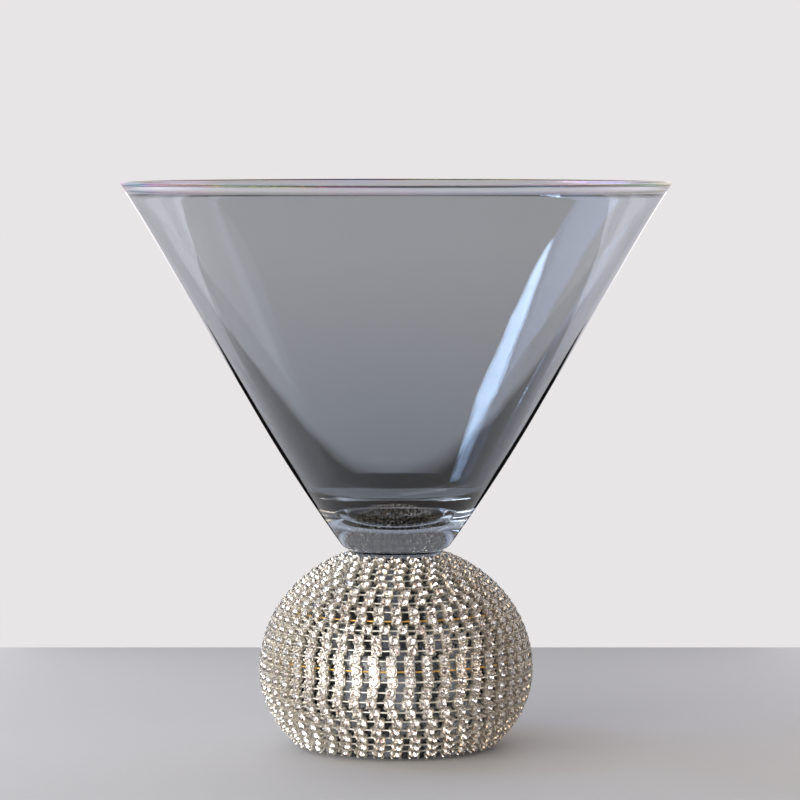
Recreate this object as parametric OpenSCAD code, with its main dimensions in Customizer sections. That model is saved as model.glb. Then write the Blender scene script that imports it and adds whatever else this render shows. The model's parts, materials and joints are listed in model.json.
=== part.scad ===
// Stemless martini glass: a conical bowl of tinted glass, hot-joined to a solid
// glass ball whose whole side is wound with rings of rhinestone cup chain.
// Millimetres, +Z up. The origin is the middle of the ball's ground underside.

/* [Bowl] */
// Outside diameter of the bowl at its rim
rim_d = 116; // [96:1:140]
// Height of the rim above the table
rim_z = 119; // [99:1:143]
// Thickness of the bowl's wall
bowl_wall = 1.3; // [0.9:0.1:2.4]
// Outside diameter of the bowl's lower edge, just above the chain
edge_d = 22.6; // [21.4:0.2:27]
// How far the lower wall tucks in from the straight cone
tuck = 1.9; // [0:0.1:2.4]
// Height over which the lower wall tucks in
tuck_h = 28; // [12:1:40]
// How far the rim flares out from the straight cone
flare = 0.5; // [0:0.1:1.5]
// Height over which the rim flares
flare_h = 15; // [5:1:25]
// Solid glass between the ball and the bowl's inner bottom
base_t = 9.6; // [6:0.2:16]
// Height over which the inner bottom rounds up into the wall
bottom_round_h = 6; // [3:0.5:12]

/* [Ball foot] */
// Diameter of the glass ball at its widest, without the chain
ball_d = 54.4; // [45:0.2:66]
// Height of the ball's widest line above the table
ball_mid_z = 16.3; // [13:0.1:19]
// Height of the ball's full upper dome above its widest line
dome_h = 24.7; // [21:0.1:30]
// Depth of the ball's full lower dome, part of which is ground off
lower_dome_h = 21.6; // [20.5:0.1:27]
// Diameter of the neck between the ball and the bowl
neck_d = 18; // [16:0.2:18.4]

/* [Cup chain] */
// Width of one square cup
cup_w = 2.05; // [1.7:0.05:2.5]
// Height of a cup's wall, up to the stone's seat
cup_wall_h = 0.95; // [0.8:0.05:1.2]
// Height of the four claws above the cup's wall
claw_h = 0.7; // [0.4:0.05:0.8]
// Thickness of a cup's floor
cup_floor_t = 0.2; // [0.15:0.05:0.3]
// Bore of the seat that a stone sits on
seat_d = 1.6; // [1.2:0.05:1.6]
// Spacing of the cups along a row
chain_pitch = 3.6; // [3:0.1:5]
// Side of the square link bar between two cups
link_t = 0.36; // [0.25:0.01:0.5]
// Height of the link bar above the back of the cups
link_rise = 0.1; // [0.05:0.05:0.3]

/* [Stones] */
// Diameter of a stone at its girdle
stone_d = 1.9; // [1.65:0.05:2.3]
// Height of the stone's point below its girdle
pavilion_h = 0.8; // [0.6:0.05:0.85]
// Thickness of the girdle
girdle_t = 0.08; // [0.05:0.01:0.15]
// Height of the crown above the girdle
crown_h = 0.38; // [0.25:0.01:0.45]
// Diameter of the flat table on top of the crown
table_d = 1.05; // [0.8:0.05:1.2]

/* [Fits] */
// Thickness of the clear adhesive between the ball and the cups
film_t = 0.12; // [0.05:0.01:0.25]
// Gap between the neck and the first row of cups
neck_gap = 0.12; // [0.1:0.01:0.4]
// Gap between the first row's claws and the bowl above them
claw_room = 0.25; // [0.15:0.05:0.8]
// Gap between two rows of cups, at their backs
row_gap = 0.04; // [0.03:0.01:0.5]
// Gap between the table and the lowest claw
table_gap = 0.5; // [0.4:0.05:1.5]
// Gap between a stone's girdle and its claws
claw_gap = 0.03; // [0.02:0.01:0.06]

/* [Hidden] */
$fn = 48;
rim_r = rim_d / 2;
edge_r = edge_d / 2;
ball_r = ball_d / 2;
neck_r = neck_d / 2;
meridian_step = 2.5;
wall_steps = 24;
bottom_steps = 10;
lip_steps = 6;
link_bite = 0.12;
underside_slope = 0.55;

// Sideways shift of each row from the front, as a share of chain_pitch; it repeats
// down the ball, as hand-wound rows never line up exactly.
row_shifts = [0.02, 0.33, 0.2, 0.1, 0.2, 0.55, 0.42, 0, 0.05, 0.37, -0.12, -0.07,
              -0.27, -0.22, -0.17, -0.3, -0.38, -0.18, 0.06, -0.1, 0.1, 0.07, 0];

// The ball's outline, by the angle t up from its widest line.
function dome(t) = t < 0 ? lower_dome_h : dome_h;
function on_ball(t) = [ball_r * cos(t), ball_mid_z + dome(t) * sin(t)];
function tilt(t) = atan2(sin(t) / dome(t), cos(t) / ball_r);
function off_ball(t, d) = on_ball(t) + d * [cos(tilt(t)), sin(tilt(t))];
t_neck = acos(neck_r / ball_r);
t_ground = -asin(ball_mid_z / lower_dome_h);
ground_r = ball_r * cos(t_ground);
joint_z = on_ball(t_neck)[1];
floor_z = joint_z + base_t;
cup_h = cup_wall_h + claw_h;

// Distance along the outline from the neck, paired with the angle there.
scan = [for (t = t_neck; t > t_ground; t = t - 0.25) t];
arc_table = [for (i = 0, s = 0; i < len(scan);
                  s = i + 1 < len(scan) ? s + norm(on_ball(scan[i + 1]) - on_ball(scan[i])) : s,
                  i = i + 1) [s, scan[i]]];

// The height of a row's lowest claw tip, for a row whose middle is at the angle t.
function claw_low(t) = off_ball(t, film_t + cup_h)[1] - cup_w / 2 * cos(tilt(t));
first_s = cup_w / 2 + neck_gap;
last_s = max([for (e = arc_table) if (claw_low(e[1]) >= table_gap) e[0]]);
row_pitch = max(cup_w, stone_d) + row_gap;
rows = floor((last_s - first_s) / row_pitch) + 1;
function row_t(i) = lookup(first_s + (i - 1) * row_pitch, arc_table);
function row_r(i) = on_ball(row_t(i))[0];
function row_cups(i) = round(2 * PI * (row_r(i) + film_t + link_t) / chain_pitch);
function row_name(kind, i) = str(kind, "_row_", i < 10 ? "0" : "", i);

// The bowl's underside rises from the neck, clear of the tops of the first row's claws.
first_tilt = tilt(row_t(1));
first_claw = off_ball(row_t(1), film_t + cup_h) + cup_w / 2 * [-sin(first_tilt), cos(first_tilt)];
neck_top_z = first_claw[1] + claw_room - underside_slope * (first_claw[0] - neck_r);
edge_z = neck_top_z + underside_slope * (edge_r - neck_r);

// The adhesive starts just outside the neck and ends under the last row.
film_top_t = meridian_step * floor(lookup(first_s / 2, arc_table) / meridian_step);
film_low_t = meridian_step * ceil(row_t(rows) / meridian_step) - meridian_step;

// Outside radius of the bowl at a height: a straight cone, tucked in at the bottom
// and flared at the rim.
function rise(z) = (z - edge_z) / (rim_z - edge_z);
function cone_r(z) = edge_r + tuck + (rim_r - flare - edge_r - tuck) * rise(z);
function tuck_at(z) = tuck * pow(max(0, 1 - (z - edge_z) / tuck_h), 2);
function flare_at(z) = flare * pow(max(0, 1 - (rim_z - z) / flare_h), 2);
function bowl_r(z) = cone_r(z) - tuck_at(z) + flare_at(z);
lean = (rim_r - edge_r) / (rim_z - edge_z);
wall_across = bowl_wall * sqrt(1 + lean * lean);

// Inside radius: the wall's thickness in, closed by a round bottom.
function rounding(z) = 1 - min(1, (z - floor_z) / bottom_round_h);
function inner_r(z) = (bowl_r(z) - wall_across) * sqrt(1 - pow(rounding(z), 2));

lip_z = rim_z - bowl_wall / 2;
lip_r = rim_r - wall_across / 2;
bottom_top_z = floor_z + bottom_round_h;

function outer_wall() = [for (k = [0:wall_steps])
    let (z = edge_z + (lip_z - edge_z) * k / wall_steps) [bowl_r(z), z]];
function lip() = [for (k = [1:lip_steps - 1])
    let (a = 180 * k / lip_steps)
    [lip_r + wall_across / 2 * cos(a), lip_z + bowl_wall / 2 * sin(a)]];
function inner_wall() = [for (k = [0:wall_steps])
    let (z = lip_z + (bottom_top_z - lip_z) * k / wall_steps) [bowl_r(z) - wall_across, z]];
function inner_bottom() = [for (k = [1:bottom_steps])
    let (z = floor_z + bottom_round_h * (1 - sin(90 * k / bottom_steps))) [inner_r(z), z]];

module glass_bowl() {
    color([0.42, 0.47, 0.54, 0.5])
        rotate_extrude($fn = 96)
            polygon(concat([[0, joint_z], [neck_r, joint_z], [neck_r, neck_top_z]],
                           outer_wall(), lip(), inner_wall(), inner_bottom()));
}

// The ball: a solid gather of the same glass, ground flat underneath.
function ball_side(t_low, t_high, d) = [for (t = [t_low:meridian_step:t_high]) off_ball(t, d)];

module ball_foot() {
    side_low = meridian_step * ceil(t_ground / meridian_step);
    side_high = meridian_step * floor(t_neck / meridian_step);
    color([0.2, 0.22, 0.27, 0.8])
        rotate_extrude($fn = 96)
            polygon(concat([[0, 0], [ground_r, 0]], ball_side(side_low, side_high, 0),
                           [[neck_r, joint_z], [0, joint_z]]));
}

// The thin film of clear adhesive that the cups are bedded on.
module adhesive_film() {
    inside = ball_side(film_low_t, film_top_t, 0);
    outside = ball_side(film_low_t, film_top_t, film_t);
    color([0.9, 0.9, 0.85, 0.5])
        rotate_extrude($fn = 96)
            polygon(concat(inside, [for (k = [len(outside) - 1:-1:0]) outside[k]]));
}

// Puts a child on the ball in row i at slot k, back on the adhesive, face outward,
// with its X along the row and its Y up the ball.
module in_row(i, k) {
    t = row_t(i);
    spot = off_ball(t, film_t);
    turn = 360 / row_cups(i) * (k + row_shifts[(i - 1) % len(row_shifts)]);
    rotate([0, 0, turn])
        translate([0, -spot[0], spot[1]])
            rotate([90 - tilt(t), 0, 0])
                children();
}

// A square stamped cup: a round seat in its wall, and a claw at each corner.
module cup() {
    translate([0, 0, cup_h / 2])
        difference() {
            cube([cup_w, cup_w, cup_h], center = true);
            translate([0, 0, cup_floor_t - cup_h / 2])
                cylinder(d = seat_d, h = cup_h);
            translate([0, 0, cup_wall_h - cup_h / 2])
                cylinder(d = stone_d + 2 * claw_gap, h = cup_h);
        }
}

// The bar from slot k of row i to the next slot, straight between the two cups.
module link(i, k) {
    t = row_t(i);
    mid = off_ball(t, film_t + link_rise + link_t / 2);
    half_turn = 180 / row_cups(i);
    span = 2 * mid[0] * sin(half_turn) - cup_w * cos(half_turn) + 2 * link_bite;
    turn = 2 * half_turn * (k + 0.5 + row_shifts[(i - 1) % len(row_shifts)]);
    rotate([0, 0, turn])
        translate([0, -mid[0] * cos(half_turn), mid[1]])
            rotate([90 - tilt(t), 0, 0])
                cube([span, link_t, link_t], center = true);
}

// One closed ring of cup chain.
module chain_row(i) {
    color([0.82, 0.82, 0.8]) {
        for (k = [1:row_cups(i)]) in_row(i, k) cup();
        for (k = [1:row_cups(i)]) link(i, k);
    }
}

// A pointed-back round stone: pavilion, girdle and crown, its point over the cup's floor.
point_z = cup_wall_h - pavilion_h * seat_d / stone_d;

module stone() {
    translate([0, 0, point_z])
        rotate_extrude()
            polygon([[0, 0], [stone_d / 2, pavilion_h], [stone_d / 2, pavilion_h + girdle_t],
                     [table_d / 2, pavilion_h + girdle_t + crown_h],
                     [0, pavilion_h + girdle_t + crown_h]]);
}

// The stones of one ring.
module stones_row(i) {
    color([0.97, 0.96, 0.95])
        for (k = [1:row_cups(i)]) in_row(i, k) stone();
}

glass_bowl();
ball_foot();
adhesive_film();
for (i = [1:rows]) chain_row(i);
for (i = [1:rows]) stones_row(i);
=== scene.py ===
"""A stemless martini glass: smoky glass bowl on a glass ball wound with rhinestone cup chain."""
import json
import math
import random

import bpy
from mathutils import Matrix, Vector


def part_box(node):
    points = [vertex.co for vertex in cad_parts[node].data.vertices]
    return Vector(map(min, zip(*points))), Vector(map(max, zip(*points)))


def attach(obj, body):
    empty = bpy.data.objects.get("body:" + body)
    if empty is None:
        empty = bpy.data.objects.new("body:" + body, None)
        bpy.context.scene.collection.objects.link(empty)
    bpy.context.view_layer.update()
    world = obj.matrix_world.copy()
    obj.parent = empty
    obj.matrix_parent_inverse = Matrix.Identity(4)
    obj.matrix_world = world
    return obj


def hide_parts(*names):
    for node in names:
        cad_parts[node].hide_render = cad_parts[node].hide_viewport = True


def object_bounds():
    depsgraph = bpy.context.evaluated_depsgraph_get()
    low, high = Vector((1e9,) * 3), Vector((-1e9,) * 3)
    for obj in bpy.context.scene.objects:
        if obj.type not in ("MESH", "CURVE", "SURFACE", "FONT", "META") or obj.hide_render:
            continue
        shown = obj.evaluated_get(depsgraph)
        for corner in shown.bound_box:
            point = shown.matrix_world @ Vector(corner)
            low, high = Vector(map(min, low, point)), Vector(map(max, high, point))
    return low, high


bl_info = {
    "name": "Rhinestone martini glass",
    "version": (1, 0, 0),
    "blender": (4, 5, 0),
    "location": "View3D > Sidebar > Martini Glass",
    "description": "Glass body, adhesive bed, cup chain and stones of a stemless martini glass",
    "category": "Add Mesh",
}

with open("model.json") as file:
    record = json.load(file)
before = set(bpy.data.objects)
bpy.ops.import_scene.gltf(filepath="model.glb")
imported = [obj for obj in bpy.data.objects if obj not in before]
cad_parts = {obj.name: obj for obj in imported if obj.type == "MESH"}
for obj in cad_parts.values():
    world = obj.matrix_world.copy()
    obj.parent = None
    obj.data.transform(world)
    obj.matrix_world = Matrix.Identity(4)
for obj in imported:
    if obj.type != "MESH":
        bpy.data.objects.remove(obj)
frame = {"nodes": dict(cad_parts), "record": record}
CAD_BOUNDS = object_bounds()
MM = 0.001

# Brightness of the room as the glass sees it: straight ahead, at the two sides and overhead.
WALL_LEVEL = 1.0
LEFT_LEVEL = 1.4
RIGHT_LEVEL = 0.45
ROOM_LEVEL = 0.25
# Straight ahead the room is dark below this height, on a sphere of radius 1 round the glass.
DARK_BELOW = -0.1
# Power of the white cards behind the glass, in watts for each square metre.
CARD_GLOW = 2.3

# Index of refraction of soda-lime glass, and of the lead crystal of the stones.
GLASS_IOR = 1.52
CRYSTAL_IOR = 1.56

# Share of the red, green and blue that tarnish leaves of the plate's colour.
LEFT_BY_TARNISH = (0.94, 0.9, 0.84)

# Order of the materials on the glass body.
LUSTRE, INSIDE, BALL, LIP = range(4)

# Points along each long stretch of the glass's outline, and along a rounded corner.
OUTLINE_STEPS = 60
CORNER_STEPS = 5

ROWS = len([name for name in frame["nodes"] if name.startswith("chain_row_")])
GILT_ROWS = [entry["node"] for entry in frame["record"]["subparts"]
             if entry["material_slot"] == "gilt_chain"]

# Each row's cups are misplaced from a seed of their own, counted up from this one.
FIRST_SEED = 100

# Sideways shift of each row from the front, as a share of the chain's pitch.
ROW_SHIFTS = (0.02, 0.33, 0.2, 0.1, 0.2, 0.55, 0.42, 0, 0.05, 0.37, -0.12, -0.07,
              -0.27, -0.22, -0.17, -0.3, -0.38, -0.18, 0.06, -0.1, 0.1, 0.07, 0)


def high(node, axis):
    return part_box(node)[1][axis]


# ---------------------------------------------------------------- sizes and colours

def length(name, description, default, low=0.0, top=1.0):
    return bpy.props.FloatProperty(name=name, description=description, default=default,
                                   min=low, max=top, unit="LENGTH", subtype="DISTANCE", precision=5)


def tint(name, description, code):
    return bpy.props.StringProperty(name=name, description=description, default=code)


class GlassSizes(bpy.types.PropertyGroup):
    rim_z: length("Rim height", "Height of the rim above the table", high("glass_bowl", 2))
    rim_r: length("Rim radius", "Outside radius of the bowl at its rim",
                  min(high("glass_bowl", 0), high("glass_bowl", 1)))
    wall: length("Wall", "Thickness of the bowl's wall", 1.3 * MM)
    edge_r: length("Lower edge radius", "Outside radius of the bowl just above the chain", 11.3 * MM)
    edge_z: length("Lower edge height", "Height of the bowl's lower edge", 42.37 * MM)
    tuck: length("Tuck", "How far the lower wall tucks in from the straight cone", 1.9 * MM)
    tuck_h: length("Tuck height", "Height over which the lower wall tucks in", 28 * MM)
    flare: length("Flare", "How far the rim flares out from the straight cone", 0.5 * MM)
    flare_h: length("Flare height", "Height over which the rim flares", 15 * MM)
    floor_z: length("Floor height", "Height of the bowl's inner bottom", high("ball_foot", 2) + 9.6 * MM)
    round_h: length("Bottom rounding", "Height over which the inner bottom rounds up", 6 * MM)
    soft: length("Soft corner", "Size of the rounds where the outline turns", 0.6 * MM)
    lip_h: length("Lip height", "Height of the polished lip, down from the rim", 1.56 * MM)
    smoke_z: length("Smoke height", "Height up to which the glass is smoked through", 39.5 * MM)
    neck_r: length("Neck radius", "Radius of the neck between ball and bowl", 9 * MM)
    neck_top_z: length("Neck top", "Height at which the bowl's underside leaves the neck", 41.1 * MM)
    ball_r: length("Ball radius", "Radius of the glass ball at its widest", 27.2 * MM)
    mid_z: length("Ball middle", "Height of the ball's widest line", 16.3 * MM)
    dome_h: length("Upper dome", "Height of the ball's full upper dome", 24.7 * MM)
    lower_h: length("Lower dome", "Depth of the ball's full lower dome", 21.6 * MM)
    segments: bpy.props.IntProperty(name="Segments", description="Facets round the glass", default=192)


class ChainSizes(bpy.types.PropertyGroup):
    cup_w: length("Cup width", "Width of one square cup", 2.05 * MM)
    wall_h: length("Cup wall", "Height of a cup's wall, up to the stone's seat", 0.95 * MM)
    claw_h: length("Claw height", "Height of the claws above the cup's wall", 0.7 * MM)
    floor_t: length("Cup floor", "Thickness of a cup's floor", 0.2 * MM)
    corner: length("Cup corner", "Cut-off corner of a square cup", 0.42 * MM)
    claw_w: length("Claw thickness", "Thickness of a claw, from the corner inwards", 0.34 * MM)
    claw_l: length("Claw width", "Width of a claw, across the corner", 0.5 * MM)
    claw_in: length("Claw inset", "Setback of a claw's middle from the cup's corner", 0.12 * MM)
    claw_lean: length("Claw lean", "How far a claw's tip bends in over the stone", 0.17 * MM)
    set_shift: length("Setting shift", "Largest misplacement of a cup along its row", 0.04 * MM)
    set_turn: bpy.props.FloatProperty(name="Setting turn", description="Largest turn of a cup out of true",
                                      default=math.radians(2.5), subtype="ANGLE")
    seat_d: length("Seat bore", "Bore of the seat that a stone sits on", 1.6 * MM)
    pitch: length("Chain pitch", "Spacing of the cups along a row", 3.6 * MM)
    row_gap: length("Row gap", "Gap between two rows of cups", 0.04 * MM)
    neck_gap: length("Neck gap", "Gap between the neck and the first row", 0.12 * MM)
    film: length("Adhesive", "Thickness of the adhesive bed", 0.12 * MM)
    film_lift: length("Adhesive lift", "Clearance of the adhesive bed over the glass", 0.03 * MM)
    link_t: length("Link", "Thickness of a link bar", 0.36 * MM)
    link_lap: length("Link lap", "How far a link bar reaches into a cup", 0.12 * MM)
    link_rise: length("Link rise", "Height of a link bar above the back of the cups", 0.1 * MM)
    stone_d: length("Stone", "Diameter of a stone at its girdle", 1.9 * MM)
    pavilion_h: length("Pavilion", "Height of the stone's point below its girdle", 0.8 * MM)
    girdle_t: length("Girdle", "Thickness of the girdle", 0.08 * MM)
    crown_h: length("Crown", "Height of the crown above the girdle", 0.38 * MM)
    table_d: length("Stone table", "Diameter of the flat table of a stone", 1.05 * MM)


class Finishes(bpy.types.PropertyGroup):
    lustre: tint("Lustre", "Tint of one pass through the smoky lustre near the rim", "#A4A8AD")
    lustre_low: tint("Lustre low", "Tint of the heavier lustre low on the bowl", "#77808B")
    low_z: length("Lustre low height", "Height below which the lustre is at its heaviest", 55 * MM)
    top_z: length("Lustre top height", "Height above which the lustre is at its thinnest", 105 * MM)
    base_glass: tint("Base glass", "Tint of the thick base under the bowl", "#A9B6C8")
    mask_low_z: length("Mask low height", "Height below which the base has no lustre", 43 * MM)
    mask_top_z: length("Mask top height", "Height above which the lustre is whole", 50 * MM)
    lip: tint("Lip", "Tint of the polished rim", "#CDCFD6")
    # Painted reflection: the brown of the foil's specks stands in for the dark reflections in the stones'
    # facets.
    ball: tint("Ball", "Tint of one pass through the smoked ball", "#767A80")
    painted_facet_speck: tint("Lacquer", "Brown lacquer where the foil of a stone has a speck", "#9A7F74")
    silver: tint("Silver plate", "Colour of the bright silver plate", "#F1EDE6")
    gilt: tint("Gilt plate", "Colour of the gilt links", "#E0B668")
    foil: tint("Foil", "Colour of the foil behind the stones", "#F8F5F1")
    crystal: tint("Crystal", "Colour of the stones' crystal", "#FFFFFF")
    floor: tint("Floor", "Colour of the pale floor", "#D9D7D6")
    backdrop: tint("Backdrop", "Colour of the pale backdrop", "#E8E5E6")


class StageSizes(bpy.types.PropertyGroup):
    distance: length("Camera distance", "Level distance from the glass to the camera", 700 * MM)
    camera_z: length("Camera height", "Height of the camera above the table", 127.5 * MM)
    camera_x: length("Camera offset", "Sideways place of the camera", 0.84 * MM, low=-1.0)
    pitch: bpy.props.FloatProperty(name="Pitch", description="Downward tilt of the camera",
                                   default=math.radians(4.44), subtype="ANGLE")
    lens_mm: bpy.props.FloatProperty(name="Lens", description="Focal length on a 36 mm frame",
                                     default=150.1)
    floor_w: length("Floor width", "Width of the pale table top", 900 * MM)
    floor_back: length("Floor behind", "How far the table top reaches behind the glass", 135 * MM)
    floor_front: length("Floor in front", "How far the table top reaches in front of the glass", 170 * MM)
    card_y: length("Card distance", "How far the white cards stand behind the glass", 150 * MM)
    card_in: length("Card inner edge", "Sideways place of the raised card's inner edge", 60 * MM)
    card_mid: length("Card step", "Sideways place where the raised card meets the tall one", 95 * MM)
    card_out: length("Card outer edge", "Sideways place of the tall card's outer edge", 400 * MM)
    card_low: length("Card foot", "Height of the tall card's lower edge", -20 * MM, low=-1.0)
    card_raised: length("Raised card foot", "Height of the raised card's lower edge", 55 * MM)
    card_top: length("Card top", "Height of both cards' upper edge", 350 * MM)


def glass_sizes():
    return bpy.context.scene.glass_sizes


def chain_sizes():
    return bpy.context.scene.chain_sizes


def finishes():
    return bpy.context.scene.glass_finishes


# ---------------------------------------------------------------- outlines

def dome(t):
    sizes = glass_sizes()
    return sizes.lower_h if t < 0 else sizes.dome_h


def tilt(t):
    """Angle of the ball's surface normal above the level, at the angle t up its outline."""
    return math.atan2(math.sin(t) / dome(t), math.cos(t) / glass_sizes().ball_r)


def off_ball(t, d=0.0):
    """Radius and height of the point a distance d outside the ball."""
    sizes = glass_sizes()
    r = sizes.ball_r * math.cos(t) + d * math.cos(tilt(t))
    return r, sizes.mid_z + dome(t) * math.sin(t) + d * math.sin(tilt(t))


def neck_angle():
    return math.acos(glass_sizes().neck_r / glass_sizes().ball_r)


def ground_angle():
    return -math.asin(glass_sizes().mid_z / glass_sizes().lower_h)


def bowl_r(z):
    """Outside radius of the bowl: a straight cone, tucked in below and flared at the rim."""
    sizes = glass_sizes()
    low_r = sizes.edge_r + sizes.tuck
    rise = (z - sizes.edge_z) / (sizes.rim_z - sizes.edge_z)
    cone = low_r + (sizes.rim_r - sizes.flare - low_r) * rise
    tucked = sizes.tuck * max(0.0, 1 - (z - sizes.edge_z) / sizes.tuck_h) ** 2
    return cone - tucked + sizes.flare * max(0.0, 1 - (sizes.rim_z - z) / sizes.flare_h) ** 2


def wall_across():
    sizes = glass_sizes()
    lean = (sizes.rim_r - sizes.edge_r) / (sizes.rim_z - sizes.edge_z)
    return sizes.wall * math.sqrt(1 + lean * lean)


def spread(low, top, count):
    return [low + (top - low) * k / count for k in range(count + 1)]


def fillet(before, corner, after, radius):
    """Points of a soft round in place of a corner, as a quadratic curve."""
    corner = Vector(corner)
    start = corner + (Vector(before) - corner).normalized() * radius
    end = corner + (Vector(after) - corner).normalized() * radius
    return [tuple(start * (1 - s) ** 2 + corner * 2 * s * (1 - s) + end * s * s)
            for s in spread(0.0, 1.0, CORNER_STEPS)]


def outer_outline():
    """The outside of the glass, from the middle of its underside to the top of the rim."""
    sizes = glass_sizes()
    ground = off_ball(ground_angle())
    side = [off_ball(t) for t in spread(ground_angle(), neck_angle(), OUTLINE_STEPS)]
    lip_z = sizes.rim_z - sizes.wall / 2
    wall = [(bowl_r(z), z) for z in spread(sizes.edge_z, lip_z, OUTLINE_STEPS)]
    soft = sizes.soft
    points = [(0.0, 0.0), (ground[0] * 0.5, 0.0)]
    points += fillet((0.0, 0.0), ground, side[3], soft)
    points += [p for p in side if p[1] > soft and p[1] < side[-1][1] - soft]
    neck_foot = (sizes.neck_r, side[-1][1])
    neck_top = (sizes.neck_r, sizes.neck_top_z)
    points += fillet(side[-4], neck_foot, neck_top, soft)
    points += fillet(neck_foot, neck_top, wall[0], soft)
    points += fillet(neck_top, wall[0], wall[1], soft)
    points += [p for p in wall if p[1] > sizes.edge_z + soft]
    lip_r = sizes.rim_r - wall_across() / 2
    points += [(lip_r + wall_across() / 2 * math.cos(a), lip_z + sizes.wall / 2 * math.sin(a))
               for a in spread(0.0, math.pi / 2, CORNER_STEPS)[1:]]
    return points


def inner_outline():
    """The inside of the bowl, from the top of the rim to the middle of its floor."""
    sizes = glass_sizes()
    lip_z = sizes.rim_z - sizes.wall / 2
    lip_r = sizes.rim_r - wall_across() / 2
    top_z = sizes.floor_z + sizes.round_h
    points = [(lip_r + wall_across() / 2 * math.cos(a), lip_z + sizes.wall / 2 * math.sin(a))
              for a in spread(math.pi / 2, math.pi, CORNER_STEPS)[1:]]
    points += [(bowl_r(z) - wall_across(), z) for z in spread(lip_z, top_z, OUTLINE_STEPS)[1:]]
    for a in spread(0.0, math.pi / 2, 20)[1:]:
        z = sizes.floor_z + sizes.round_h * (1 - math.sin(a))
        points.append(((bowl_r(z) - wall_across()) * math.cos(a), z))
    return points


# ---------------------------------------------------------------- rows of chain

def arc_table():
    """Distance down the ball's side from the neck, paired with the angle there."""
    step = math.radians(0.25)
    table = [(0.0, neck_angle())]
    while table[-1][1] - step > ground_angle():
        t = table[-1][1] - step
        here = Vector(off_ball(t))
        there = Vector(off_ball(table[-1][1]))
        table.append((table[-1][0] + (here - there).length, t))
    return table


def angle_at(distance, table):
    for (s0, t0), (s1, t1) in zip(table, table[1:]):
        if s0 <= distance <= s1:
            return t0 + (t1 - t0) * (distance - s0) / (s1 - s0)
    raise RuntimeError("a row of chain lies off the ball")


def row_angles():
    """Angle up the ball of each row's middle, from the neck down."""
    chain = chain_sizes()
    table = arc_table()
    first = chain.cup_w / 2 + chain.neck_gap
    pitch = max(chain.cup_w, chain.stone_d) + chain.row_gap
    return [angle_at(first + k * pitch, table) for k in range(ROWS)]


def row_cups(t):
    chain = chain_sizes()
    return round(2 * math.pi * (off_ball(t)[0] + chain.film + chain.link_t) / chain.pitch)


def on_row(t, turn, rise=0.0, radius=None):
    """Place on the ball: X runs along the row, Y up the ball and Z outwards."""
    r, z = off_ball(t, chain_sizes().film + rise)
    return (Matrix.Rotation(turn, 4, "Z") @ Matrix.Translation((0, -(radius or r), z))
            @ Matrix.Rotation(math.pi / 2 - tilt(t), 4, "X"))


# ---------------------------------------------------------------- modelling by hand

def clear_selection():
    if bpy.context.object and bpy.context.object.mode != "OBJECT":
        bpy.ops.object.mode_set(mode="OBJECT")
    bpy.ops.object.select_all(action="DESELECT")


def activate(piece):
    clear_selection()
    piece.select_set(True)
    bpy.context.view_layer.objects.active = piece


def edit(piece):
    activate(piece)
    bpy.ops.object.mode_set(mode="EDIT")
    bpy.ops.mesh.select_mode(type="VERT")


def pick(piece, kind, test):
    """Selects the edges or faces whose middle and direction pass a test."""
    bpy.ops.mesh.select_mode(type=kind)
    bpy.ops.mesh.select_all(action="DESELECT")
    bpy.ops.object.mode_set(mode="OBJECT")
    mesh = piece.data
    if kind == "FACE":
        for face in mesh.polygons:
            face.select = test(face.center, face.normal)
    else:
        for edge in mesh.edges:
            a, b = (mesh.vertices[i].co for i in edge.vertices)
            edge.select = test((a + b) / 2, (a - b).normalized())
    bpy.ops.object.mode_set(mode="EDIT")


def tidy_shell():
    """Closes seams and poles and turns the faces outwards."""
    bpy.ops.mesh.select_mode(type="VERT")
    bpy.ops.mesh.select_all(action="SELECT")
    bpy.ops.mesh.remove_doubles(threshold=1e-7)
    bpy.ops.mesh.normals_make_consistent(inside=False)


def lathe(name, outline, segments, closed=False):
    """Draws an outline point by point and spins it round the upright axis."""
    clear_selection()
    bpy.ops.mesh.primitive_plane_add(size=MM, location=(0, 0, 0))
    piece = bpy.context.object
    piece.name = piece.data.name = name
    edit(piece)
    bpy.ops.mesh.select_all(action="SELECT")
    bpy.ops.mesh.merge(type="CENTER")
    place = Vector((outline[0][0], 0, outline[0][1]))
    bpy.ops.transform.translate(value=place)
    ring = outline[1:] + (outline[:1] if closed else [])
    for r, z in ring:
        step = Vector((r, 0, z)) - place
        bpy.ops.mesh.extrude_region_move(TRANSFORM_OT_translate={"value": step})
        place += step
    bpy.ops.mesh.select_all(action="SELECT")
    bpy.ops.mesh.spin(steps=segments, angle=2 * math.pi, center=(0, 0, 0), axis=(0, 0, 1))
    tidy_shell()
    bpy.ops.object.mode_set(mode="OBJECT")
    bpy.ops.object.shade_smooth()
    return piece


def copies_to_piece(name, model, places):
    """Copies a finished model to each place, every copy with its own mesh, and joins them."""
    made = []
    for place in places:
        copy = model.copy()
        copy.data = model.data.copy()
        copy.matrix_world = place
        bpy.context.collection.objects.link(copy)
        made.append(copy)
    clear_selection()
    for copy in made:
        copy.select_set(True)
    bpy.context.view_layer.objects.active = made[0]
    bpy.ops.object.join()
    piece = bpy.context.object
    bpy.ops.object.transform_apply(location=True, rotation=True, scale=True)
    piece.name = piece.data.name = name
    return piece


def finish_piece(piece, slot, *nodes):
    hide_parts(*nodes)
    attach(piece, "root")


# ---------------------------------------------------------------- materials

def linear(code):
    """Turns an sRGB hex colour into linear red, green, blue and alpha."""
    parts = [int(code[k:k + 2], 16) / 255 for k in (1, 3, 5)]
    return [c / 12.92 if c <= 0.04045 else ((c + 0.055) / 1.055) ** 2.4 for c in parts] + [1.0]


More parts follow.
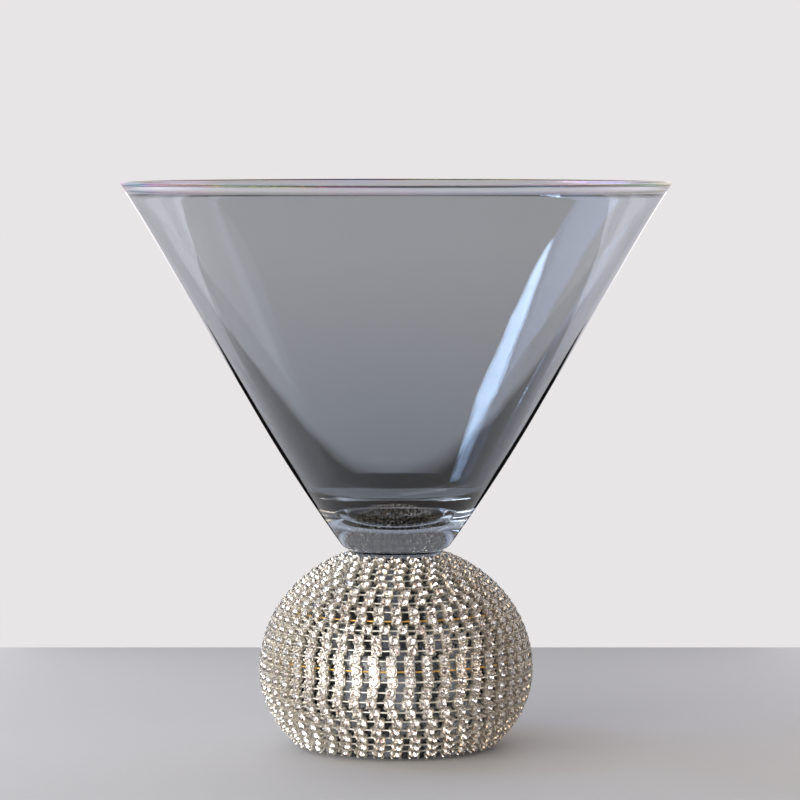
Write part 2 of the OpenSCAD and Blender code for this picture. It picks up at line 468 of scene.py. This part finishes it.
def add_node(tree, kind, links=(), values=(), **settings):
    """Adds a node, sets it up, fills its sockets and links other nodes' sockets into it."""
    node = tree.nodes.new(kind)
    for key, value in settings.items():
        setattr(node, key, value)
    for key, value in dict(values).items():
        node.inputs[key].default_value = value
    for key, socket in dict(links).items():
        tree.links.new(socket, node.inputs[key])
    return node


def new_material(name):
    material = bpy.data.materials.new(name)
    material.use_nodes = True
    material.node_tree.nodes.clear()
    return material, material.node_tree


def end_material(tree, shader):
    add_node(tree, "ShaderNodeOutputMaterial", {"Surface": shader.outputs[0]})


def own_place(tree):
    return add_node(tree, "ShaderNodeTexCoord").outputs["Object"]


def noise(tree, place, scale, detail=2.0):
    node = add_node(tree, "ShaderNodeTexNoise", {"Vector": place}, {"Scale": scale, "Detail": detail})
    return node.outputs[0]


def ramp(tree, value, low, top, start=0.0, end=1.0):
    """Takes a value between low and top to one between start and end, and holds it beyond."""
    node = add_node(tree, "ShaderNodeMapRange", {"Value": value},
                    {"From Min": low, "From Max": top, "To Min": start, "To Max": end})
    return node.outputs[0]


def blend(tree, factor, first, second):
    """Mixes two colours, each either a fixed colour or another node's socket."""
    node = add_node(tree, "ShaderNodeMix", {"Factor": factor}, data_type="RGBA")
    for socket, colour in ((node.inputs[6], first), (node.inputs[7], second)):
        if isinstance(colour, bpy.types.NodeSocket):
            tree.links.new(colour, socket)
        else:
            socket.default_value = colour
    return node.outputs[2]


def relief(tree, height, strength, depth):
    node = add_node(tree, "ShaderNodeBump", {"Height": height}, {"Strength": strength, "Distance": depth})
    return node.outputs[0]


def hand_blown(tree, place):
    """The slow waves that hand blowing leaves in a wall."""
    return relief(tree, noise(tree, place, 60.0, 1.0), 0.15, 0.5 * MM)


def lustre_glass():
    """Clear soda-lime glass, fire polished, with a thin smoky blue-grey lustre fired on its outside.

    The lustre is sprayed from below, so it is heavier low on the bowl, and the thick base is masked.
    """
    material, tree = new_material("smoky_lustre_glass")
    finish = finishes()
    place = own_place(tree)
    height = add_node(tree, "ShaderNodeSeparateXYZ", {0: place}).outputs["Z"]
    bowl = blend(tree, ramp(tree, height, finish.low_z, finish.top_z),
                 linear(finish.lustre_low), linear(finish.lustre))
    colour = blend(tree, ramp(tree, height, finish.mask_low_z, finish.mask_top_z),
                   linear(finish.base_glass), bowl)
    waves = hand_blown(tree, place)
    shader = add_node(tree, "ShaderNodeBsdfPrincipled",
                      {"Base Color": colour, "Normal": waves, "Coat Normal": waves},
                      {"Roughness": 0.0, "IOR": GLASS_IOR, "Transmission Weight": 1.0,
                       "Coat Weight": 0.4, "Coat Roughness": 0.0, "Coat IOR": 1.6})
    end_material(tree, shader)
    return material


def clear_glass():
    """The same glass where it has no lustre, on the inside of the bowl."""
    material, tree = new_material("clear_inside_glass")
    shader = add_node(tree, "ShaderNodeBsdfPrincipled", {"Normal": hand_blown(tree, own_place(tree))},
                      {"Base Color": (1, 1, 1, 1), "Roughness": 0.0, "IOR": GLASS_IOR,
                       "Transmission Weight": 1.0})
    end_material(tree, shader)
    return material


def polished_lip():
    """The fire-polished rim, where the lustre thins out to a maroon and blue-green shimmer.

    The lip is under two millimetres high; its low index keeps it from drawing black lines round the bowl.
    """
    material, tree = new_material("polished_lip")
    nanometres = ramp(tree, noise(tree, own_place(tree), 25.0), 0.3, 0.7, 240.0, 420.0)
    shader = add_node(tree, "ShaderNodeBsdfPrincipled", {"Thin Film Thickness": nanometres},
                      {"Base Color": linear(finishes().lip), "Roughness": 0.22, "IOR": 1.33,
                       "Transmission Weight": 1.0, "Thin Film IOR": 1.7})
    end_material(tree, shader)
    return material


def ball_glass():
    """The ball's smoked glass, hardly duller than polished, with no sheen where the adhesive wets it."""
    material, tree = new_material("smoked_ball_glass")
    rough = ramp(tree, noise(tree, own_place(tree), 1500.0), 0.0, 1.0, 0.03, 0.08)
    shader = add_node(tree, "ShaderNodeBsdfPrincipled", {"Roughness": rough},
                      {"Base Color": linear(finishes().ball), "IOR": GLASS_IOR, "Specular IOR Level": 0.0,
                       "Transmission Weight": 1.0})
    end_material(tree, shader)
    return material


def clear_adhesive():
    """Clear jewellers' adhesive, brushed on thin: it only adds a faint soft sheen over the dark ball."""
    material, tree = new_material("clear_adhesive")
    lumps = relief(tree, noise(tree, own_place(tree), 900.0), 0.3, 0.1 * MM)
    clear = add_node(tree, "ShaderNodeBsdfTransparent")
    gloss = add_node(tree, "ShaderNodeBsdfGlossy", {"Normal": lumps}, {"Roughness": 0.4})
    sheen = add_node(tree, "ShaderNodeFresnel", {"Normal": lumps}, {"IOR": 1.12})
    shader = add_node(tree, "ShaderNodeMixShader",
                      {0: sheen.outputs[0], 1: clear.outputs[0], 2: gloss.outputs[0]})
    end_material(tree, shader)
    return material


def plate(name, code):
    """Satin-bright plate over stamped brass, with faint stamping marks and soft tarnish."""
    material, tree = new_material(name)
    place = own_place(tree)
    clouds = noise(tree, place, 400.0, 3.0)
    worn = ramp(tree, clouds, 0.3, 0.7, 0.28, 0.5)
    colour = linear(code)
    tarnish = [c * left for c, left in zip(colour, LEFT_BY_TARNISH)] + [1.0]
    tone = blend(tree, clouds, colour, tarnish)
    marks = relief(tree, noise(tree, place, 2500.0), 0.4, 0.08 * MM)
    shader = add_node(tree, "ShaderNodeBsdfPrincipled",
                      {"Base Color": tone, "Roughness": worn, "Normal": marks}, {"Metallic": 1.0})
    end_material(tree, shader)
    return material


def crystal():
    """Cut lead crystal: clear, sharp and more strongly bending than window glass."""
    material, tree = new_material("cut_crystal")
    shader = add_node(tree, "ShaderNodeBsdfPrincipled", (),
                      {"Base Color": linear(finishes().crystal), "Roughness": 0.0, "IOR": CRYSTAL_IOR,
                       "Transmission Weight": 1.0})
    end_material(tree, shader)
    return material


def foil():
    """Silver foil on the back of a stone, a bright mirror with small brown specks painted in that stand in
    for the dark reflections of the stone's facets.
    """
    material, tree = new_material("stone_foil")
    patches = noise(tree, own_place(tree), 2200.0, 1.0)
    # Painted reflection: these specks paint the dark facet reflections into the foil's colour.
    facet_speck_mask = ramp(tree, patches, 0.56, 0.62)
    tone = blend(tree, facet_speck_mask, linear(finishes().foil), linear(finishes().painted_facet_speck))
    rough = ramp(tree, patches, 0.0, 1.0, 0.1, 0.3)
    shader = add_node(tree, "ShaderNodeBsdfPrincipled",
                      {"Base Color": tone, "Roughness": rough}, {"Metallic": 1.0})
    end_material(tree, shader)
    return material


# ---------------------------------------------------------------- pieces

def glass_finish(middle):
    """Which of the body's materials a face has, from where its middle lies."""
    sizes = glass_sizes()
    if middle.z < sizes.smoke_z:
        return BALL
    if middle.z > sizes.rim_z - sizes.lip_h:
        return LIP
    just_under_floor = sizes.floor_z - 0.1 * MM
    mid_wall_r = bowl_r(middle.z) - 0.6 * wall_across()
    if middle.z > just_under_floor and math.hypot(middle.x, middle.y) < mid_wall_r:
        return INSIDE
    return LUSTRE


class GLASS_OT_body(bpy.types.Operator):
    """Makes the bowl and the ball foot, which are joined hot into one body of glass."""
    bl_idname = "martini.glass_body"
    bl_label = "Glass Body"

    def execute(self, context):
        sizes = glass_sizes()
        piece = lathe("glass_body", outer_outline() + inner_outline(), sizes.segments)
        for material in (lustre_glass(), clear_glass(), ball_glass(), polished_lip()):
            piece.data.materials.append(material)
        for face in piece.data.polygons:
            face.material_index = glass_finish(face.center)
        finish_piece(piece, "smoke_glass", "glass_bowl", "ball_foot")
        return {"FINISHED"}


class GLASS_OT_adhesive(bpy.types.Operator):
    """Makes the thin bed of clear adhesive between the ball and the cups."""
    bl_idname = "martini.adhesive_bed"
    bl_label = "Adhesive Bed"

    def execute(self, context):
        chain = chain_sizes()
        rows = row_angles()
        past_row = math.radians(1.2)
        angles = spread(rows[0] + past_row, rows[-1], 50)
        outline = [off_ball(t, chain.film) for t in angles]
        outline += [off_ball(t, chain.film_lift) for t in reversed(angles)]
        piece = lathe("adhesive_bed", outline, glass_sizes().segments // 2, closed=True)
        piece.data.materials.append(clear_adhesive())
        finish_piece(piece, "clear_adhesive", "adhesive_film")
        return {"FINISHED"}


def model_cup():
    """One stamped cup: a box with cut corners, a well of the same shape and four bent claws."""
    chain = chain_sizes()
    w = chain.cup_w
    clear_selection()
    bpy.ops.mesh.primitive_cube_add(size=1, location=(0, 0, chain.wall_h / 2), scale=(w, w, chain.wall_h))
    cup = bpy.context.object
    bpy.ops.object.transform_apply(location=True, rotation=True, scale=True)
    edit(cup)
    pick(cup, "EDGE", lambda middle, way: abs(way.z) > 0.9)
    bpy.ops.mesh.bevel(offset=chain.corner, segments=1, affect="EDGES")
    pick(cup, "FACE", lambda middle, normal: normal.z > 0.9)
    bpy.ops.mesh.inset(thickness=(w - chain.seat_d) / 2)
    bpy.ops.mesh.extrude_region_move(
        TRANSFORM_OT_translate={"value": (0, 0, chain.floor_t - chain.wall_h)})
    taper = 0.55
    foot_z = chain.wall_h * 0.35
    bend_z = chain.wall_h + chain.claw_h * 0.45
    tip_z = chain.wall_h + chain.claw_h
    out = w / 2 - chain.claw_in
    for k in range(4):
        turn = math.pi / 4 + k * math.pi / 2
        way = Vector((math.cos(turn), math.sin(turn), 0)) * math.sqrt(2)
        low = way * out
        bpy.ops.mesh.primitive_cube_add(size=1, location=low + Vector((0, 0, (foot_z + bend_z) / 2)),
                                        rotation=(0, 0, turn),
                                        scale=(chain.claw_w, chain.claw_l, bend_z - foot_z))
        pick(cup, "FACE", lambda middle, normal: normal.z > 0.9 and middle.z > bend_z - 0.02 * MM
             and (middle - low).xy.length < chain.claw_w)
        lean = -way * chain.claw_lean
        bpy.ops.mesh.extrude_region_move(
            TRANSFORM_OT_translate={"value": (lean.x, lean.y, tip_z - bend_z)})
        bpy.ops.transform.resize(value=(taper, taper, 1),
                                 center_override=(low.x + lean.x, low.y + lean.y, tip_z))
    bpy.ops.object.mode_set(mode="OBJECT")
    bpy.ops.object.shade_smooth_by_angle(angle=math.radians(50))
    return cup


def model_link(t):
    """One link bar of a row, straight between two cups, with its long edges eased."""
    chain = chain_sizes()
    half = math.pi / row_cups(t)
    mid_r = off_ball(t, chain.film + chain.link_rise + chain.link_t / 2)[0]
    span = 2 * mid_r * math.sin(half) - chain.cup_w * math.cos(half) + 2 * chain.link_lap
    clear_selection()
    bpy.ops.mesh.primitive_cube_add(size=1, scale=(span, chain.link_t, chain.link_t))
    bar = bpy.context.object
    eased = chain.link_t * 0.28
    bpy.ops.object.transform_apply(location=True, rotation=True, scale=True)
    edit(bar)
    pick(bar, "EDGE", lambda middle, way: abs(way.x) > 0.9)
    bpy.ops.mesh.bevel(offset=eased, segments=1, affect="EDGES")
    bpy.ops.object.mode_set(mode="OBJECT")
    bpy.ops.object.shade_smooth_by_angle(angle=math.radians(50))
    return bar


def model_stone():
    """One pointed-back round stone with a twelve-sided girdle and a turned table."""
    chain = chain_sizes()
    sides = 12
    # The cone of the pavilion rests on the edge of the seat bore, at the top of the cup's wall.
    point_z = chain.wall_h - chain.pavilion_h * chain.seat_d / chain.stone_d
    girdle_z = point_z + chain.pavilion_h
    clear_selection()
    bpy.ops.mesh.primitive_cylinder_add(vertices=sides, radius=chain.stone_d / 2, depth=chain.girdle_t,
                                        location=(0, 0, girdle_z + chain.girdle_t / 2))
    stone = bpy.context.object
    bpy.ops.object.transform_apply(location=True, rotation=True, scale=True)
    edit(stone)
    pick(stone, "FACE", lambda middle, normal: normal.z < -0.9)
    bpy.ops.mesh.extrude_region_move(TRANSFORM_OT_translate={"value": (0, 0, -chain.pavilion_h)})
    bpy.ops.mesh.merge(type="CENTER")
    pick(stone, "FACE", lambda middle, normal: normal.z > 0.9)
    top = girdle_z + chain.girdle_t + chain.crown_h
    bpy.ops.mesh.extrude_region_move(TRANSFORM_OT_translate={"value": (0, 0, chain.crown_h)})
    scale = chain.table_d / chain.stone_d
    bpy.ops.transform.resize(value=(scale, scale, 1), center_override=(0, 0, top))
    bpy.ops.transform.rotate(value=math.pi / sides, orient_axis="Z", center_override=(0, 0, top))
    pick(stone, "FACE", lambda middle, normal: 0.1 < normal.z < 0.95)
    bpy.ops.mesh.quads_convert_to_tris(quad_method="SHORTEST_DIAGONAL")
    tidy_shell()
    bpy.ops.object.mode_set(mode="OBJECT")
    bpy.ops.object.shade_flat()
    for face in stone.data.polygons:
        face.material_index = 1 if face.center.z < girdle_z - 0.05 * MM else 0
    return stone


def loose(rng, turn, shift):
    """A small seeded misplacement, as of a part set by hand, less across its row than along it."""
    push = Matrix.Translation((rng.uniform(-shift, shift), rng.uniform(-shift, shift) * 0.3, 0))
    return (push @ Matrix.Rotation(rng.uniform(-turn, turn), 4, "Z")
            @ Matrix.Rotation(rng.uniform(-turn, turn), 4, "X")
            @ Matrix.Rotation(rng.uniform(-turn, turn), 4, "Y"))


def cup_places(row, t):
    """Where each cup of a row sits; its stone takes the same place."""
    rng = random.Random(FIRST_SEED + row)
    chain = chain_sizes()
    count = row_cups(t)
    shift = ROW_SHIFTS[row % len(ROW_SHIFTS)]
    return [on_row(t, 2 * math.pi / count * (k + shift)) @ loose(rng, chain.set_turn, chain.set_shift)
            for k in range(count)]


def link_places(row, t):
    """Where each bar of a row sits, halfway between two cups."""
    chain = chain_sizes()
    count = row_cups(t)
    half = math.pi / count
    rise = chain.link_rise + chain.link_t / 2
    radius = off_ball(t, chain.film + rise)[0] * math.cos(half)
    shift = ROW_SHIFTS[row % len(ROW_SHIFTS)]
    return [on_row(t, 2 * half * (k + 0.5 + shift), rise, radius) for k in range(count)]


class GLASS_OT_chain(bpy.types.Operator):
    """Makes each ring of cup chain: its cups and the bars between them."""
    bl_idname = "martini.cup_chain"
    bl_label = "Cup Chain"

    def execute(self, context):
        silver = plate("silver_plate", finishes().silver)
        gilt = plate("gilt_plate", finishes().gilt)
        cup = model_cup()
        cup.data.materials.append(silver)
        for row, t in enumerate(row_angles()):
            node = f"chain_row_{row + 1:02d}"
            bar = model_link(t)
            bar.data.materials.append(gilt if node in GILT_ROWS else silver)
            cups = copies_to_piece("cups", cup, cup_places(row, t))
            bars = copies_to_piece("bars", bar, link_places(row, t))
            activate(cups)
            bars.select_set(True)
            bpy.ops.object.join()
            cups.name = cups.data.name = f"cup_chain_{row + 1:02d}"
            finish_piece(cups, "gilt_chain" if node in GILT_ROWS else "silver_chain", node)
            bpy.data.objects.remove(bar)
        bpy.data.objects.remove(cup)
        return {"FINISHED"}


class GLASS_OT_stones(bpy.types.Operator):
    """Makes the foiled stones of each ring."""
    bl_idname = "martini.stones"
    bl_label = "Stones"

    def execute(self, context):
        stone = model_stone()
        stone.data.materials.append(crystal())
        stone.data.materials.append(foil())
        for row, t in enumerate(row_angles()):
            stones = copies_to_piece(f"rhinestones_{row + 1:02d}", stone, cup_places(row, t))
            finish_piece(stones, "rhinestone", f"stones_row_{row + 1:02d}")
        bpy.data.objects.remove(stone)
        return {"FINISHED"}


# ---------------------------------------------------------------- stage

def soft_light(name, place, aim, width, height, power, colour):
    """A soft box at a place, turned to face aim."""
    lamp = bpy.data.lights.new(name, "AREA")
    lamp.shape = "RECTANGLE"
    lamp.size = width
    lamp.size_y = height
    lamp.energy = power
    lamp.color = linear(colour)[:3]
    holder = bpy.data.objects.new(name, lamp)
    bpy.context.collection.objects.link(holder)
    holder.location = place
    holder.rotation_euler = (Vector(aim) - Vector(place)).to_track_quat("-Z", "Y").to_euler()


def wall_card(name, side, near, far, low):
    """A flat white card behind the glass, to one side of it, that shows in the glass's edges."""
    stage = bpy.context.scene.stage_sizes
    width = far - near
    height = stage.card_top - low
    x = side * (near + far) / 2
    z = (low + stage.card_top) / 2
    soft_light(name, (x, stage.card_y, z), (x, -1, z), width, height, CARD_GLOW * width * height, "#F4F2FA")


def pale_floor():
    """A pale laminate table top, matt, with the faintest mottle."""
    material, tree = new_material("pale_laminate")
    rough = ramp(tree, noise(tree, own_place(tree), 40.0), 0.0, 1.0, 0.6, 0.75)
    shader = add_node(tree, "ShaderNodeBsdfPrincipled", {"Roughness": rough},
                      {"Base Color": linear(finishes().floor), "Specular IOR Level": 0.3})
    end_material(tree, shader)
    return material


def arithmetic(tree, operation, first, second):
    return add_node(tree, "ShaderNodeMath", {0: first, 1: second}, operation=operation).outputs[0]


def studio_world():
    """A pale wall ahead, walls that dim from left to right round the rest, a dim ceiling and dark below.

    The camera sees a plain pale backdrop all round; the light, mirror and glass rays see the room.
    """
    world = bpy.data.worlds.new("studio")
    world.use_nodes = True
    tree = world.node_tree
    tree.nodes.clear()
    way = add_node(tree, "ShaderNodeTexCoord").outputs["Generated"]
    split = add_node(tree, "ShaderNodeSeparateXYZ", {0: way})
    to_right, onward, upward = (split.outputs[axis] for axis in ("X", "Y", "Z"))

    # The wall ahead has no upper edge; the others end low, under a dim ceiling.
    sideways = add_node(tree, "ShaderNodeMath", {0: to_right}, operation="ABSOLUTE").outputs[0]
    forwards = ramp(tree, onward, 0.3, 0.7)
    wall = arithmetic(tree, "MULTIPLY", ramp(tree, sideways, 0.46, 0.5, 1.0, 0.0), forwards)
    walls = arithmetic(tree, "MAXIMUM", wall, ramp(tree, upward, 0.12, 0.24, 1.0, 0.0))
    across = ramp(tree, to_right, -0.4, 0.6, LEFT_LEVEL, RIGHT_LEVEL)
    around = add_node(tree, "ShaderNodeMix", {0: forwards, 2: across}, {3: WALL_LEVEL}).outputs[0]
    level = add_node(tree, "ShaderNodeMix", {0: walls, 3: around}, {2: ROOM_LEVEL}).outputs[0]

    # Ahead the darkness starts a little below the level, and to the sides much further down.
    cut = ramp(tree, onward, 0.5, 0.9, -0.5, DARK_BELOW)
    lit = ramp(tree, arithmetic(tree, "SUBTRACT", upward, cut), -0.005, 0.005, 0.01)
    strength = arithmetic(tree, "MULTIPLY", level, lit)

    colour = linear(finishes().backdrop)
    seen = add_node(tree, "ShaderNodeLightPath")
    backdrop = add_node(tree, "ShaderNodeBackground", (), {"Color": colour})
    room = add_node(tree, "ShaderNodeBackground", {"Strength": strength}, {"Color": colour})
    mixed = add_node(tree, "ShaderNodeMixShader",
                     {0: seen.outputs["Is Camera Ray"], 1: room.outputs[0], 2: backdrop.outputs[0]})
    add_node(tree, "ShaderNodeOutputWorld", {"Surface": mixed.outputs[0]})
    return world


class GLASS_OT_stage(bpy.types.Operator):
    """Makes the pale floor, the soft lights and the camera."""
    bl_idname = "martini.stage"
    bl_label = "Stage"

    def execute(self, context):
        stage = context.scene.stage_sizes
        clear_selection()
        depth = stage.floor_back + stage.floor_front
        bpy.ops.mesh.primitive_plane_add(
            size=1, location=(0, (stage.floor_back - stage.floor_front) / 2, CAD_BOUNDS[0][2]))
        floor = context.object
        floor.name = "floor"
        floor.scale = (stage.floor_w, depth, 1)
        bpy.ops.object.transform_apply(location=True, rotation=True, scale=True)
        floor.data.materials.append(pale_floor())
        context.scene.world = studio_world()

        ball = (0, 0, 0.03)
        bowl = (0, 0, 0.1)
        soft_light("soft_front_left", (-0.55, -0.6, 0.15), ball,
                   width=1.2, height=0.4, power=9.0, colour="#FFFDFA")
        soft_light("soft_left", (-0.8, 0.05, 0.12), ball,
                   width=1.3, height=0.35, power=3.0, colour="#FBFFFA")
        # A window high on the left draws the long streak down the right of the bowl.
        soft_light("window_left", (-0.6, 0.1, 0.56), (0.02, 0.02, 0.08),
                   width=0.2, height=0.1, power=0.75, colour="#BFDCFF")
        soft_light("sky_left", (-0.56, 0.42, 0.58), bowl,
                   width=0.5, height=0.2, power=0.42, colour="#9CC0FF")
        soft_light("sky_right", (0.64, 0.26, 0.57), bowl,
                   width=0.2, height=0.2, power=0.05, colour="#DDE8FF")
        soft_light("soft_right", (0.7, -0.4, 0.1), ball,
                   width=0.3, height=0.3, power=1.2, colour="#FFDDB4")
        for hand, side in (("left", -1), ("right", 1)):
            wall_card("wall_" + hand, side, stage.card_mid, stage.card_out, stage.card_low)
            wall_card("wall_inner_" + hand, side, stage.card_in, stage.card_mid, stage.card_raised)

        camera = bpy.data.objects.new("camera", bpy.data.cameras.new("camera"))
        context.collection.objects.link(camera)
        camera.location = (stage.camera_x, -stage.distance, stage.camera_z)
        camera.rotation_euler = (math.pi / 2 - stage.pitch, 0, 0)
        camera.data.lens = stage.lens_mm
        camera.data.sensor_width = 36
        camera.data.clip_start = 0.01
        camera.data.clip_end = 20
        context.scene.camera = camera
        context.scene.view_settings.view_transform = "Standard"
        return {"FINISHED"}


class GLASS_PT_panel(bpy.types.Panel):
    """Lists the operators in the order they are used."""
    bl_idname = "GLASS_PT_panel"
    bl_label = "Martini Glass"
    bl_space_type = "VIEW_3D"
    bl_region_type = "UI"
    bl_category = "Martini Glass"

    def draw(self, context):
        for operator in OPERATORS:
            self.layout.operator(operator.bl_idname)


OPERATORS = (GLASS_OT_body, GLASS_OT_adhesive, GLASS_OT_chain, GLASS_OT_stones, GLASS_OT_stage)
GROUPS = {"glass_sizes": GlassSizes, "chain_sizes": ChainSizes,
          "glass_finishes": Finishes, "stage_sizes": StageSizes}


def register():
    for group in GROUPS.values():
        bpy.utils.register_class(group)
    for name, group in GROUPS.items():
        setattr(bpy.types.Scene, name, bpy.props.PointerProperty(type=group))
    for operator in OPERATORS:
        bpy.utils.register_class(operator)
    bpy.utils.register_class(GLASS_PT_panel)


def unregister():
    bpy.utils.unregister_class(GLASS_PT_panel)
    for operator in OPERATORS:
        bpy.utils.unregister_class(operator)
    for name, group in GROUPS.items():
        delattr(bpy.types.Scene, name)
        bpy.utils.unregister_class(group)


def main():
    register()
    bpy.ops.martini.glass_body()
    bpy.ops.martini.adhesive_bed()
    bpy.ops.martini.cup_chain()
    bpy.ops.martini.stones()
    bpy.ops.martini.stage()


if __name__ == "__main__":
    main()
